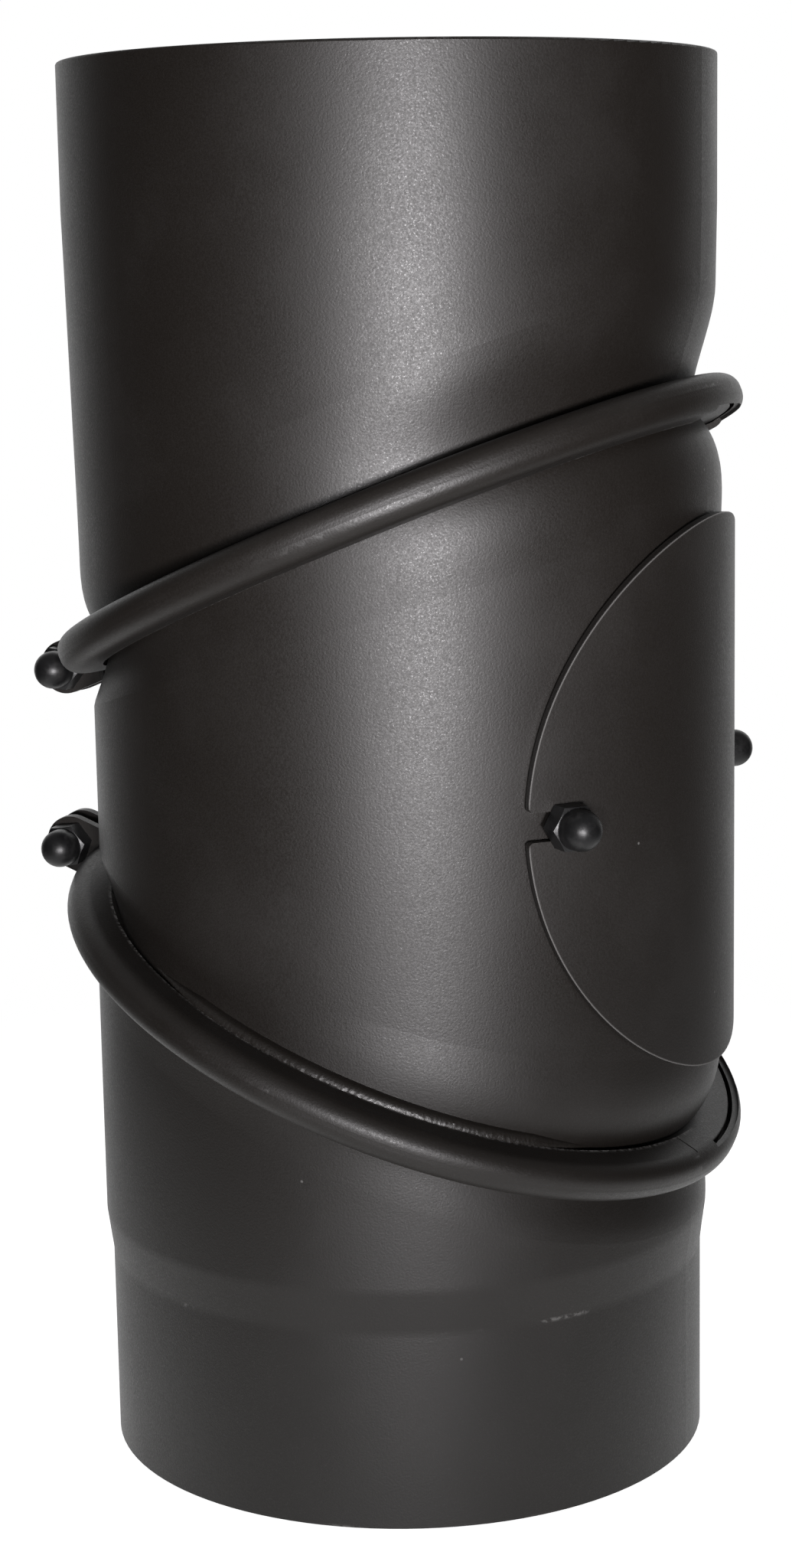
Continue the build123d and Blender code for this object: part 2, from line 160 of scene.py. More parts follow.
class ShaderSheet:
    """Node sheet of one material or world."""

    def __init__(self, tree: bpy.types.NodeTree) -> None:
        """Empty a node tree and write on it.

        Args:
            tree: Node tree of the material or world.
        """
        tree.nodes.clear()
        self.tree = tree

    def node(
        self,
        kind: str,
        settings: Mapping[str, Any] | None = None,
        sockets: Mapping[str | int, Any] | None = None,
        output: str | int = 0,
    ) -> bpy.types.NodeSocket | None:
        """Add a node.

        Args:
            kind: Blender's name of the node's type.
            settings: Attributes of the node, which are set first.
            sockets: Value, signal or socket of each input, by its name or number.
            output: Name or number of the output that is wanted.

        Returns:
            That output, or None if the node has none.
        """
        made = self.tree.nodes.new(kind)
        for name, value in (settings or {}).items():
            setattr(made, name, value)
        for key, value in (sockets or {}).items():
            source = value.socket if isinstance(value, Signal) else value
            if isinstance(source, bpy.types.NodeSocket):
                self.tree.links.new(source, made.inputs[key])
            else:
                made.inputs[key].default_value = source
        return made.outputs[output] if len(made.outputs) else None

    def number(
        self,
        kind: str,
        settings: Mapping[str, Any] | None = None,
        sockets: Mapping[str | int, Any] | None = None,
        output: str | int = 0,
    ) -> Signal:
        """Add a node whose output is a number.

        Args:
            kind: Blender's name of the node's type.
            settings: Attributes of the node, which are set first.
            sockets: Value, signal or socket of each input, by its name or number.
            output: Name or number of the output that is wanted.

        Returns:
            That output as a signal.
        """
        return Signal(self, self.node(kind, settings, sockets, output))

    def place(self) -> bpy.types.NodeSocket:
        """Position on the piece, in the elbow's own frame, in metres."""
        return self.node("ShaderNodeTexCoord", output="Object")

    def along(self, place: bpy.types.NodeSocket, origin: Vector, axis: Vector) -> Signal:
        """Distance of each point along an axis.

        Args:
            place: Position socket.
            origin: Point from which the distance counts.
            axis: Unit direction of the axis.

        Returns:
            The distance in metres.
        """
        offset = self.node("ShaderNodeVectorMath", {"operation": "SUBTRACT"}, {0: place, 1: origin})
        sockets = {0: offset, 1: axis}
        return self.number("ShaderNodeVectorMath", {"operation": "DOT_PRODUCT"}, sockets, "Value")

    def around(self, place: bpy.types.NodeSocket, origin: Vector, axis: Vector) -> Signal:
        """Distance of each point from an axis.

        Args:
            place: Position socket.
            origin: Point on the axis.
            axis: Unit direction of the axis.

        Returns:
            The distance in metres.
        """
        offset = self.node("ShaderNodeVectorMath", {"operation": "SUBTRACT"}, {0: place, 1: origin})
        moment = self.node("ShaderNodeVectorMath", {"operation": "CROSS_PRODUCT"}, {0: offset, 1: axis})
        return self.number("ShaderNodeVectorMath", {"operation": "LENGTH"}, {0: moment}, "Value")

    def noise(self, place: bpy.types.NodeSocket, grain: float, detail: float = 2.0) -> Signal:
        """Cloudy noise.

        Args:
            place: Position socket.
            grain: Size of the clouds in metres.
            detail: Number of finer layers.

        Returns:
            A value around one half.
        """
        sockets = {"Vector": place, "Scale": 1 / grain, "Detail": detail}
        return self.number("ShaderNodeTexNoise", None, sockets)

    def mix(self, share: Signal, first: Any, second: Any) -> bpy.types.NodeSocket:
        """Blend of two colours.

        Args:
            share: Share of the second colour.
            first: Colour or socket at share 0.
            second: Colour or socket at share 1.

        Returns:
            The blended colour.
        """
        colours = [c if isinstance(c, bpy.types.NodeSocket) else (*c, 1.0) for c in (first, second)]
        sockets = {0: share, 6: colours[0], 7: colours[1]}
        return self.node("ShaderNodeMix", {"data_type": "RGBA", "clamp_factor": True}, sockets, 2)

    def bump(self, depth: float, height: Signal) -> bpy.types.NodeSocket:
        """Normal of a surface with small hills.

        Args:
            depth: Depth of the hills in metres.
            height: Height of the surface from 0 to 1.

        Returns:
            The tilted normal.
        """
        return self.node("ShaderNodeBump", None, {"Distance": depth, "Height": height})

    def cover(self, sockets: Mapping[str | int, Any]) -> None:
        """Close a material's sheet with its surface.

        Args:
            sockets: Value, signal or socket of each input of the surface.
        """
        surface = self.node("ShaderNodeBsdfPrincipled", None, sockets)
        self.node("ShaderNodeOutputMaterial", None, {"Surface": surface})


def new_material(name: str) -> tuple[bpy.types.Material, ShaderSheet]:
    """Start a material.

    Args:
        name: Name of the material.

    Returns:
        The material and its empty node sheet.
    """
    material = bpy.data.materials.new(name)
    material.use_nodes = True
    return material, ShaderSheet(material.node_tree)


class WearAndHighlight(Protocol):
    """Where the paint of a piece is rubbed thin, and where a highlight is painted on."""

    def mask(self, sheet: ShaderSheet, place: bpy.types.NodeSocket) -> Signal:
        """Strength of the wear and painted highlight from 0 to 1."""


@dataclass(frozen=True)
class LipWearAndHighlight:
    """Rough and thinly painted edges of a clamp band's lips, lightened also into a painted highlight line
    along the lips' edges.

    Attributes:
        origin: Centre of the band.
        axis: Unit axis of the band.
        lip_radius: Radius of the lips' edges.
        width: Width of the worn, lightened strip.
        strength: Strength at the edge.
        crumb: Size of its fine breaks.
        crumb_step: Noise values between which a break starts and is full.
        patch: Size of the stretches that are worn more.
        patch_step: Noise values between which such a stretch starts and is full.
        least: Share of the wear and painted highlight outside those stretches.
    """

    origin: Vector
    axis: Vector
    lip_radius: float
    width: float = 1.1 * MM
    strength: float = 0.55
    crumb: float = 0.9 * MM
    crumb_step: Span = (0.38, 0.64)
    patch: float = 26 * MM
    patch_step: Span = (0.42, 0.6)
    least: float = 0.25

    def mask(self, sheet: ShaderSheet, place: bpy.types.NodeSocket) -> Signal:
        """Strength of the wear and painted highlight from 0 to 1, highest at the lips' edges.

        Args:
            sheet: Node sheet of the paint.
            place: Position socket.

        Returns:
            The strength.
        """
        # Lightens the lips' edges: rubbed paint and a painted highlight line where the light catches
        # them.
        radius = sheet.around(place, self.origin, self.axis)
        edge = radius.step(self.lip_radius + self.width, self.lip_radius)
        rough = sheet.noise(place, self.crumb, detail=4.0).step(*self.crumb_step)
        patches = sheet.noise(place, self.patch).step(*self.patch_step)
        return edge * rough * (patches * (1 - self.least) + self.least) * self.strength


@dataclass(frozen=True)
class RimHighlight:
    """Painted highlight: thin light line at the outer corner of the cleaning door's cut rim, a circle
    before rolling.

    Attributes:
        centre: Middle of the door's disc on the middle pipe's axis.
        neutral_radius: Radius at which the rolled sheet keeps its flat length.
        outer_radius: Radius of the door's outside.
        disc_radius: Radius of the flat disc.
        width: Width of the line.
        strength: Strength of the line.
    """

    centre: Vector
    neutral_radius: float
    outer_radius: float
    disc_radius: float
    width: float = 0.45 * MM
    strength: float = 0.45

    def mask(self, sheet: ShaderSheet, place: bpy.types.NodeSocket) -> Signal:
        """Strength of the painted highlight from 0 to 1, highest at the rim's outer corner.

        Args:
            sheet: Node sheet of the paint.
            place: Position socket.

        Returns:
            The strength.
        """
        # Painted highlight: lightens the paint in a thin line along the rim's outer corner.
        outward = sheet.along(place, self.centre, Vector((1, 0, 0)))
        across = sheet.along(place, self.centre, Vector((0, 1, 0)))
        upward = sheet.along(place, self.centre, Vector((0, 0, 1)))
        angle = sheet.number("ShaderNodeMath", {"operation": "ARCTAN2"}, {0: across, 1: outward})
        rolled = angle * self.neutral_radius
        reach = (rolled * rolled + upward * upward) ** 0.5
        rim = reach.step(self.disc_radius - self.width, self.disc_radius)
        radius = (outward * outward + across * across) ** 0.5
        return rim * radius.step(self.outer_radius - self.width, self.outer_radius) * self.strength


@dataclass(frozen=True)
class CreaseWear:
    """Scattered scuffs along a crease around an upright pipe, at one height.

    Attributes:
        height: Height of the crease.
        width: Half width of the worn strip.
        strength: Strength at the crease.
        crumb: Size of a scuff's fine breaks.
        crumb_step: Noise values between which a break starts and is full.
        patch: Size of a scuff.
        patch_step: Noise values between which a scuff starts and is full.
    """

    height: float
    width: float = 0.8 * MM
    strength: float = 0.35
    crumb: float = 1.1 * MM
    crumb_step: Span = (0.42, 0.62)
    patch: float = 17 * MM
    patch_step: Span = (0.55, 0.68)

    def mask(self, sheet: ShaderSheet, place: bpy.types.NodeSocket) -> Signal:
        """Strength of the wear from 0 to 1, highest at the crease.

        Args:
            sheet: Node sheet of the paint.
            place: Position socket.

        Returns:
            The strength.
        """
        level = sheet.along(place, Vector((0, 0, self.height)), Vector((0, 0, 1)))
        line = level.distance(0.0).step(self.width, 0.0)
        patches = sheet.noise(place, self.patch).step(*self.patch_step)
        rough = sheet.noise(place, self.crumb, detail=4.0).step(*self.crumb_step)
        return line * patches * rough * self.strength


@dataclass(frozen=True)
class StovePaint:
    """Matte heat-resistant paint with a fine metallic grain.

    Attributes:
        colour: Colour of the paint.
        flake_colour: Colour of the metallic grain.
        chip_and_highlight_colour: Colour of the rubbed paint and bare steel, also of the painted
            highlights.
        sheen: Strength of the paint's reflection.
        roughness: Mean roughness.
        grain: Size of the grain in metres.
        grain_depth: Depth of the grain in metres.
        grain_gloss: Change of roughness over the grain.
        flake: Size of the metallic flakes in metres.
        flake_step: Noise values between which a flake starts and is full.
        flake_tint: Share of the flakes' colour in a flake.
        flake_gloss: Fall of roughness in a flake.
        cloud: Size of the uneven coats in metres.
        cloud_tint: Change of the flakes' colour over the coats.
        cloud_gloss: Change of roughness over the coats.
        speck_spacing: Mean distance between dust specks in metres.
        speck_step: Distances, in spacings, at which a speck ends and is full.
        speck_strength: Share of the rubbed paint's colour in a speck.
    """

    colour: Colour = (0.0055, 0.0043, 0.0034)
    flake_colour: Colour = (0.027, 0.0254, 0.0243)
    chip_and_highlight_colour: Colour = (0.20, 0.195, 0.19)
    sheen: float = 0.36
    roughness: float = 0.49
    grain: float = 0.5 * MM
    grain_depth: float = 0.045 * MM
    grain_gloss: float = 0.27
    flake: float = 0.35 * MM
    flake_step: Span = (0.58, 0.72)
    flake_tint: float = 0.2
    flake_gloss: float = 0.11
    cloud: float = 34 * MM
    cloud_tint: float = 0.6
    cloud_gloss: float = 0.12
    speck_spacing: float = 19 * MM
    speck_step: Span = (0.022, 0.012)
    speck_strength: float = 0.35

    def dress(self, name: str, wear_and_highlights: Sequence[WearAndHighlight] = ()) -> bpy.types.Material:
        """Make the paint of one piece.

        Args:
            name: Name of the material.
            wear_and_highlights: Places where the paint is rubbed thin, and painted highlights.

        Returns:
            The material.
        """
        material, sheet = new_material(name)
        place = sheet.place()
        coat = sheet.noise(place, self.cloud, detail=4.0) - 0.5
        grain = sheet.noise(place, self.grain, detail=3.0)
        flakes = sheet.noise(place, self.flake, detail=1.0).step(*self.flake_step)
        cell = {"Vector": place, "Scale": 1 / self.speck_spacing}
        specks = sheet.number("ShaderNodeTexVoronoi", None, cell, "Distance").step(*self.speck_step)
        chips_and_highlights = specks * self.speck_strength
        # Dust specks, real scuffs and painted highlights all lighten the paint toward the chip colour.
        for mark in wear_and_highlights:
            chips_and_highlights = chips_and_highlights + mark.mask(sheet, place)
        tint = flakes * self.flake_tint + coat * self.cloud_tint
        painted = sheet.mix(tint, self.colour, self.flake_colour)
        gloss = flakes * self.flake_gloss - coat * self.cloud_gloss - (grain - 0.5) * self.grain_gloss
        surface = {
            "Base Color": sheet.mix(chips_and_highlights, painted, self.chip_and_highlight_colour),
            "Roughness": self.roughness - gloss,
            "Specular IOR Level": self.sheen,
            "Normal": sheet.bump(self.grain_depth, grain),
        }
        sheet.cover(surface)
        return material


@dataclass(frozen=True)
class BlackSteel:
    """Black-finished steel of the bolts, studs and cap nuts.

    Attributes:
        colour: Colour of the finish.
        worn_colour: Colour of handled spots.
        sheen: Strength of the finish's reflection.
        roughness: Mean roughness.
        pitting: Size of the finish's unevenness in metres.
        pit_depth: Depth of that unevenness in metres.
        pit_gloss: Change of roughness over it.
        spot: Size of the handled spots in metres.
        spot_step: Noise values between which a spot starts and is full.
        spot_tint: Share of the spots' colour in a spot.
    """

    colour: Colour = (0.004, 0.004, 0.0042)
    worn_colour: Colour = (0.016, 0.0157, 0.0154)
    sheen: float = 0.3
    roughness: float = 0.4
    pitting: float = 0.9 * MM
    pit_depth: float = 0.03 * MM
    pit_gloss: float = 0.25
    spot: float = 3.6 * MM
    spot_step: Span = (0.5, 0.75)
    spot_tint: float = 0.6

    def dress(self, name: str) -> bpy.types.Material:
        """Make the finish of the fasteners.

        Args:
            name: Name of the material.

        Returns:
            The material.
        """
        material, sheet = new_material(name)
        place = sheet.place()
        pits = sheet.noise(place, self.pitting, detail=4.0)
        handled = sheet.noise(place, self.spot, detail=3.0).step(*self.spot_step)
        surface = {
            "Base Color": sheet.mix(handled * self.spot_tint, self.colour, self.worn_colour),
            "Roughness": (pits - 0.5) * self.pit_gloss + self.roughness,
            "Specular IOR Level": self.sheen,
            "Normal": sheet.bump(self.pit_depth, pits),
        }
        sheet.cover(surface)
        return material


@dataclass(frozen=True)
class FibreWeave:
    """Woven heat-proof fibre of the flat seals.

    Attributes:
        colour: Colour of the yarn.
        shade: Painted shade between the yarns, a darker colour in the weave's hollows.
        yarn: Width of a yarn in metres.
        wander: How far the yarns leave their lines.
        relief: Height of the weave in metres.
        fuzz: Size of the loose fibres in metres.
        fuzz_share: Share of the loose fibres in the weave's height.
        fuzz_gloss: Change of roughness over them.
        roughness: Least roughness.
        light_step: Heights between which the yarn's colour starts and is full.
    """

    colour: Colour = (0.25, 0.24, 0.22)
    shade: Colour = (0.07, 0.068, 0.064)
    yarn: float = 1.1 * MM
    wander: float = 1.2
    relief: float = 0.25 * MM
    fuzz: float = 0.44 * MM
    fuzz_share: float = 0.5
    fuzz_gloss: float = 0.1
    roughness: float = 0.86
    light_step: Span = (0.1, 0.9)

    def dress(self, name: str) -> bpy.types.Material:
        """Make the weave of the seals.

        Args:
            name: Name of the material.

        Returns:
            The material.
        """
        material, sheet = new_material(name)
        place = sheet.place()
        fuzz = sheet.noise(place, self.fuzz, detail=3.0)
        scale = 1 / self.yarn / WAVES_PER_UNIT
        warp = {"Vector": place, "Scale": scale, "Distortion": self.wander, "Detail": 2.0}
        across = sheet.number("ShaderNodeTexWave", {"bands_direction": "Y"}, warp)
        upward = sheet.number("ShaderNodeTexWave", {"bands_direction": "Z"}, warp)
        height = across * upward + fuzz * self.fuzz_share
        # Painted shade: the hollows between the yarns get the darker colour.
        surface = {
            "Base Color": sheet.mix(height.step(*self.light_step), self.shade, self.colour),
            "Roughness": fuzz * self.fuzz_gloss + self.roughness,
            "Normal": sheet.bump(self.relief, height),
        }
        sheet.cover(surface)
        return material


@dataclass(frozen=True)
class PaleFloor:
    """Plain pale light table that fades out toward its edge.

    Attributes:
        colour: Colour of the floor.
        shade: Colour of its faint clouds.
        cloud: Size of those clouds in metres.
        roughness: Roughness of its surface.
        glow: Strength of its own light.
        fade_start: Distance from the middle at which it starts to fade, in metres.
        fade_end: Distance at which it ends.
    """

    colour: Colour = (0.92, 0.92, 0.92)
    shade: Colour = (0.89, 0.89, 0.89)
    cloud: float = 0.2
    roughness: float = 0.8
    glow: float = 0.9
    fade_start: float = 0.13
    fade_end: float = 0.45

    def dress(self, name: str) -> bpy.types.Material:
        """Make the floor's finish.

        Args:
            name: Name of the material.

        Returns:
            The material.
        """
        material, sheet = new_material(name)
        place = sheet.place()
        from_middle = sheet.around(place, Vector((0, 0, 0)), Vector((0, 0, 1)))
        surface = {
            "Base Color": sheet.mix(sheet.noise(place, self.cloud, detail=3.0), self.colour, self.shade),
            "Roughness": self.roughness,
            "Alpha": from_middle.step(self.fade_end, self.fade_start),
            "Emission Color": (1.0, 1.0, 1.0, 1.0),
            "Emission Strength": self.glow,
        }
        sheet.cover(surface)
        return material


def paint_node(node: str, material: bpy.types.Material) -> None:
    """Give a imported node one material.

    Args:
        node: Name of the node.
        material: Material to give.
    """
    mesh = frame["nodes"][node].data
    mesh.materials.clear()
    mesh.materials.append(material)
    log.info("dressed %s in %s", node, material.name)


def node_middle(node: str) -> Vector:
    """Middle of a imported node's box, in metres."""
    low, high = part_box(node)
    return (low + high) / 2


def joint_named(name: str) -> Mapping[str, Any]:
    """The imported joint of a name."""
    return next(joint for joint in frame["joints"] if joint["name"] == name)


def skin_rings(mesh: bmesh.types.BMesh, rings: Sequence[Sequence[bmesh.types.BMVert]]) -> None:
    """Join rings of points to a closed skin with a flat cap at each end.

    Args:
        mesh: Mesh that holds the points.
        rings: Points of each ring, in the same order around.
    """
    for low, high in zip(rings, rings[1:]):
        for side in range(len(low)):
            after = (side + 1) % len(low)
            mesh.faces.new((low[side], low[after], high[after], high[side]))
    mesh.faces.new(rings[0][::-1])
    mesh.faces.new(rings[-1])


@dataclass(frozen=True)
class Thread:
    """Metric coarse thread of the bolts and studs, in metres.

    Attributes:
        radius: Outside radius.
        pitch: Distance between turns.
        depth: Depth of the groove.
        steepness: Rise of the groove's walls, in depths for each turn.
        tip: Length and depth of the bevelled tip.
        sides: Points around the rod.
        steps: Rings of points for each turn.
    """

    radius: float = 3.0 * MM
    pitch: float = 1.0 * MM
    depth: float = 0.55 * MM
    steepness: float = 2.6
    tip: float = 0.7 * MM
    sides: int = 32
    steps: int = 8

    def radius_at(self, turn: float, distance: float, length: float) -> float:
        """Radius of the thread's surface.

        Args:
            turn: Angle around the rod as a share of a full turn.
            distance: Distance from the rod's root.
            length: Length of the rod.

        Returns:
            The radius in metres.
        """
        phase = (distance / self.pitch - turn) % 1.0
        groove = max(0.0, 1.0 - self.steepness * abs(phase - 0.5))
        bevel = max(0.0, self.tip - (length - distance))
        return self.radius - max(self.depth * groove, bevel)

    def add_rod(self, mesh: bmesh.types.BMesh, root: Vector, axis: Vector, length: float) -> None:
        """Add a closed threaded rod to a mesh.

        Args:
            mesh: Mesh to add to.
            root: Middle of the rod's root.
            axis: Unit direction from the root to the tip.
            length: Length of the rod.
        """
        right = axis.orthogonal().normalized()
        front = axis.cross(right)
        count = round(length / self.pitch * self.steps)
        rings = []
        for ring in range(count + 1):
            distance = length * ring / count
            points = []
            for side in range(self.sides):
                turn = side / self.sides
                angle = 2 * math.pi * turn
                spoke = right * math.cos(angle) + front * math.sin(angle)
                reach = self.radius_at(turn, distance, length)
                points.append(mesh.verts.new(root + axis * distance + spoke * reach))
            rings.append(points)
        skin_rings(mesh, rings)


@dataclass(frozen=True)
class HexHead:
    """Bevelled hexagon head of a bolt, in metres.

    Attributes:
        flats: Distance across the flats.
        height: Height of the head.
        crown: Radius of the flat on top.
        slope: Fall of the bevel for each metre of radius.
        sides: Points around the head.
    """

    flats: float = 10 * MM
    height: float = 4 * MM
    crown: float = 4.75 * MM
    slope: float = 0.5
    sides: int = 72

    def add_head(self, mesh: bmesh.types.BMesh, seat: Vector, axis: Vector, corner: Vector) -> None:
        """Add a closed head to a mesh.

        Args:
            mesh: Mesh to add to.
            seat: Middle of the head's seat.
            axis: Unit direction from the seat to the top.
            corner: Unit direction of one corner.
        """
        front = axis.cross(corner)
        rings: list[list[bmesh.types.BMVert]] = [[], [], []]
        for side in range(self.sides):
            angle = 2 * math.pi * side / self.sides
            spoke = corner * math.cos(angle) + front * math.sin(angle)
            from_flat = (angle + math.pi / 3) % (math.pi / 3) - math.pi / 6
            reach = self.flats / 2 / math.cos(from_flat)
            edge = self.height - max(0.0, reach - self.crown) * self.slope
            rings[0].append(mesh.verts.new(seat + spoke * reach))
            rings[1].append(mesh.verts.new(seat + spoke * reach + axis * edge))
            rings[2].append(mesh.verts.new(seat + spoke * self.crown + axis * self.height))
        skin_rings(mesh, rings)


def finish_piece(
    mesh: bmesh.types.BMesh, name: str, body: str, material: bpy.types.Material
) -> bpy.types.Object:
    """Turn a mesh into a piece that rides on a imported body.

    Args:
        mesh: Mesh in the elbow's frame; it is freed.
        name: Name of the piece.
        body: Body that the piece rides on.
        material: Material of the piece.

    Returns:
        The new piece.
    """
    bmesh.ops.recalc_face_normals(mesh, faces=mesh.faces)
    for face in mesh.faces:
        face.smooth = True
    data = bpy.data.meshes.new(name)
    mesh.to_mesh(data)
    mesh.free()
    data.set_sharp_from_angle(angle=SHARP_ANGLE)
    data.materials.append(material)
    piece = bpy.data.objects.new(name, data)
    bpy.context.scene.collection.objects.link(piece)
    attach(piece, body)
    log.info("built %s on %s", name, body)
    return piece


@dataclass(frozen=True)
class CornerBead:
    """Rough bead of paint in the corner between a clamp band's lip and the pipe that carries the band.

    Attributes:
        section: Radius and distance from the joint plane of each point of its section.
        corner: The section's point that its ends run out to.
        start: Angle of one end around the swivel's axis, in degrees from the door's side.
        end: Angle of the other end.
        taper: Share of the length over which each end runs out.
        tip: Share of the section that is left at the ends.
        unevenness: Height of its lumps.
        lump: Size of a lump.
        steps: Sections along the bead.
    """

    section: tuple[tuple[float, float], ...] = (
        (77.2 * MM, 7.1 * MM),
        (78.4 * MM, 6.9 * MM),
        (79.2 * MM, 6.65 * MM),
        (79.7 * MM, 6.25 * MM),
        (80.0 * MM, 5.75 * MM),
        (80.18 * MM, 5.3 * MM),
        (80.25 * MM, 5.0 * MM),
        (80.2 * MM, 4.8 * MM),
        (77.2 * MM, 4.4 * MM),
    )
    corner: tuple[float, float] = (77.6 * MM, 4.6 * MM)
    start: float = -122.0
    end: float = -30.0
    taper: float = 0.16
    tip: float = 0.05
    unevenness: float = 0.11 * MM
    lump: float = 0.8 * MM
    steps: int = 600

    def build(self, name: str, joint: Mapping[str, Any], material: bpy.types.Material) -> None:
        """Lay the bead along its stretch of the lip.

        Args:
            name: Name of the piece.
            joint: Packed swivel whose band has the lip.
            material: Material of the bead.
        """
        axis = Vector(joint["axis"])
        front = Vector((0, 1, 0))
        right = front.cross(axis)
        mesh = bmesh.new()
        rings = []
        for step in range(self.steps + 1):
            share = step / self.steps
            angle = math.radians(self.start + (self.end - self.start) * share)
            spoke = right * math.cos(angle) + front * math.sin(angle)
            swell = min(1.0, self.tip + min(share, 1 - share) / self.taper)
            points = []
            for radius, level in self.section:
                reach = self.corner[0] + (radius - self.corner[0]) * swell
                height = self.corner[1] + (level - self.corner[1]) * swell
                spot = Vector(joint["pos_m"]) + spoke * reach + axis * height
                rise = self.unevenness * noise.noise(spot / self.lump)
                points.append(mesh.verts.new(spot + spoke * rise))
            rings.append(points)
        skin_rings(mesh, rings)
        finish_piece(mesh, name, "middle", material)


class Level(Enum):
    """Place of a swivel on the elbow."""

    LOWER = "lower"
    UPPER = "upper"


class Side(Enum):
    """Side of the elbow, seen from the camera."""

    FRONT = "front"
    REAR = "rear"


@dataclass
class PipeRun:
    """The three lengths of pipe.

    Attributes:
        paint: Paint of the pipes.
        swage_foot: Height at which the spigot's swage starts.
    """

    paint: StovePaint
    swage_foot: float = 48 * MM

    def dress(self) -> None:
        """Paint the pipes, with scuffs at the swage and the cut ends."""
        lower = [CreaseWear(self.swage_foot), CreaseWear(CAD_BOX[0].z)]
        paint_node("lower_segment", self.paint.dress("lower_pipe_paint", lower))
        paint_node("middle_segment", self.paint.dress("middle_pipe_paint"))
        paint_node("upper_segment", self.paint.dress("upper_pipe_paint", [CreaseWear(CAD_BOX[1].z)]))


@dataclass
class SwivelClamp:
    """Seal, clamp band, lugs, bolt and cap nut of one swivel.

    Attributes:
        level: Place of the swivel.
        paint: Paint of the band and lugs.
        steel: Material of the bolt and nut.
        fibre: Material of the seal.
        thread: Thread of the bolt.
        head: Head of the bolt.
        lip_radius: Radius of the band's lips.
        bolt_radius: Distance of the bolt from the swivel's axis.
        bolt_seat: Distance of the head's seat from the middle of the band's split.
        clasp_turn: Angle of the split around the swivel's axis, from the side opposite the door.
    """

    level: Level
    paint: StovePaint
    steel: bpy.types.Material
    fibre: bpy.types.Material
    thread: Thread
    head: HexHead
    lip_radius: float = 80 * MM
    bolt_radius: float = 96.1 * MM
    bolt_seat: float = 5 * MM
    clasp_turn: float = 5.0

    def dress(self) -> None:
        """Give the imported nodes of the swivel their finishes."""
        name = self.level.value
        joint = joint_named(f"{name}_swivel")
        # The band's lips get rubbed paint and a painted highlight line.
        wear_and_highlights = LipWearAndHighlight(Vector(joint["pos_m"]), Vector(joint["axis"]), self.lip_radius)
        band_paint = self.paint.dress(f"{name}_band_paint", [wear_and_highlights])
        paint_node(f"{name}_clamp_band", band_paint)
        for side in Side:
            paint_node(f"{name}_clamp_lug_{side.value}", band_paint)
        paint_node(f"{name}_clamp_nut", self.steel)
        paint_node(f"{name}_joint_seal", self.fibre)

    def build_bolt(self) -> None:
        """Build the bolt with its thread, its head on the rear lug and its tip in the cap nut."""
        name = self.level.value
        node = f"{name}_clamp_bolt"
        joint = joint_named(f"{name}_swivel")
        swivel_axis = Vector(joint["axis"])
        axis = Matrix.Rotation(math.radians(self.clasp_turn), 3, swivel_axis) @ Vector((0, 1, 0))
        outward = swivel_axis.cross(axis)
        seat = Vector(joint["pos_m"]) + outward * self.bolt_radius + axis * self.bolt_seat
        tip_reach = (self.thread.radius - self.thread.tip) * math.sqrt(1 - axis.y**2)
        length = (seat.y - tip_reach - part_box(node)[0].y) / axis.y
        mesh = bmesh.new()
        self.head.add_head(mesh, seat, axis, swivel_axis)
        self.thread.add_rod(mesh, seat, -axis, length)
        bolt = finish_piece(mesh, f"{name}_threaded_bolt", "middle", self.steel)
        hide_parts(node)


@dataclass
class CleaningHatch:
    """Cleaning door with its gasket, studs and cap nuts.

    Attributes:
        paint: Paint of the door.
        steel: Material of the studs and nuts.
        fibre: Material of the gasket.
        thread: Thread of the studs.
        sheet: Thickness of the door's sheet.
        axis_x: Place of the middle pipe's axis.
    """

    paint: StovePaint
    steel: bpy.types.Material
    fibre: bpy.types.Material
    thread: Thread
    sheet: float = 2 * MM
    axis_x: float = 2.7 * MM

    def dress(self) -> None:
        """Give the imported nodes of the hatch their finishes."""
        low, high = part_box("cleaning_door")
        centre = Vector((self.axis_x, 0, (low.z + high.z) / 2))
        outer_radius = high.x - self.axis_x
        # Painted highlight along the door rim's outer corner.
        wear_and_highlights = RimHighlight(centre, outer_radius - self.sheet / 2, outer_radius, (high.z - low.z) / 2)
        paint_node("cleaning_door", self.paint.dress("hatch_paint", [wear_and_highlights]))
        paint_node("door_gasket", self.fibre)
        for side in Side:
            paint_node(f"door_nut_{side.value}", self.steel)

    def build_stud(self, side: Side) -> None:
        """Build one stud with its thread, from the pipe's wall outward.

        Args:
            side: Side of the door.
        """
        node = f"door_stud_{side.value}"
        axis = Vector(joint_named(f"{side.value}_nut_unscrew")["axis"])
        low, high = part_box(node)
        length = (high.x - low.x - 2 * self.thread.radius * abs(axis.y)) / axis.x
        root = node_middle(node) - axis * length / 2
        mesh = bmesh.new()
        self.thread.add_rod(mesh, root, axis, length)
        stud = finish_piece(mesh, f"threaded_stud_{side.value}", "middle", self.steel)
        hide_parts(node)


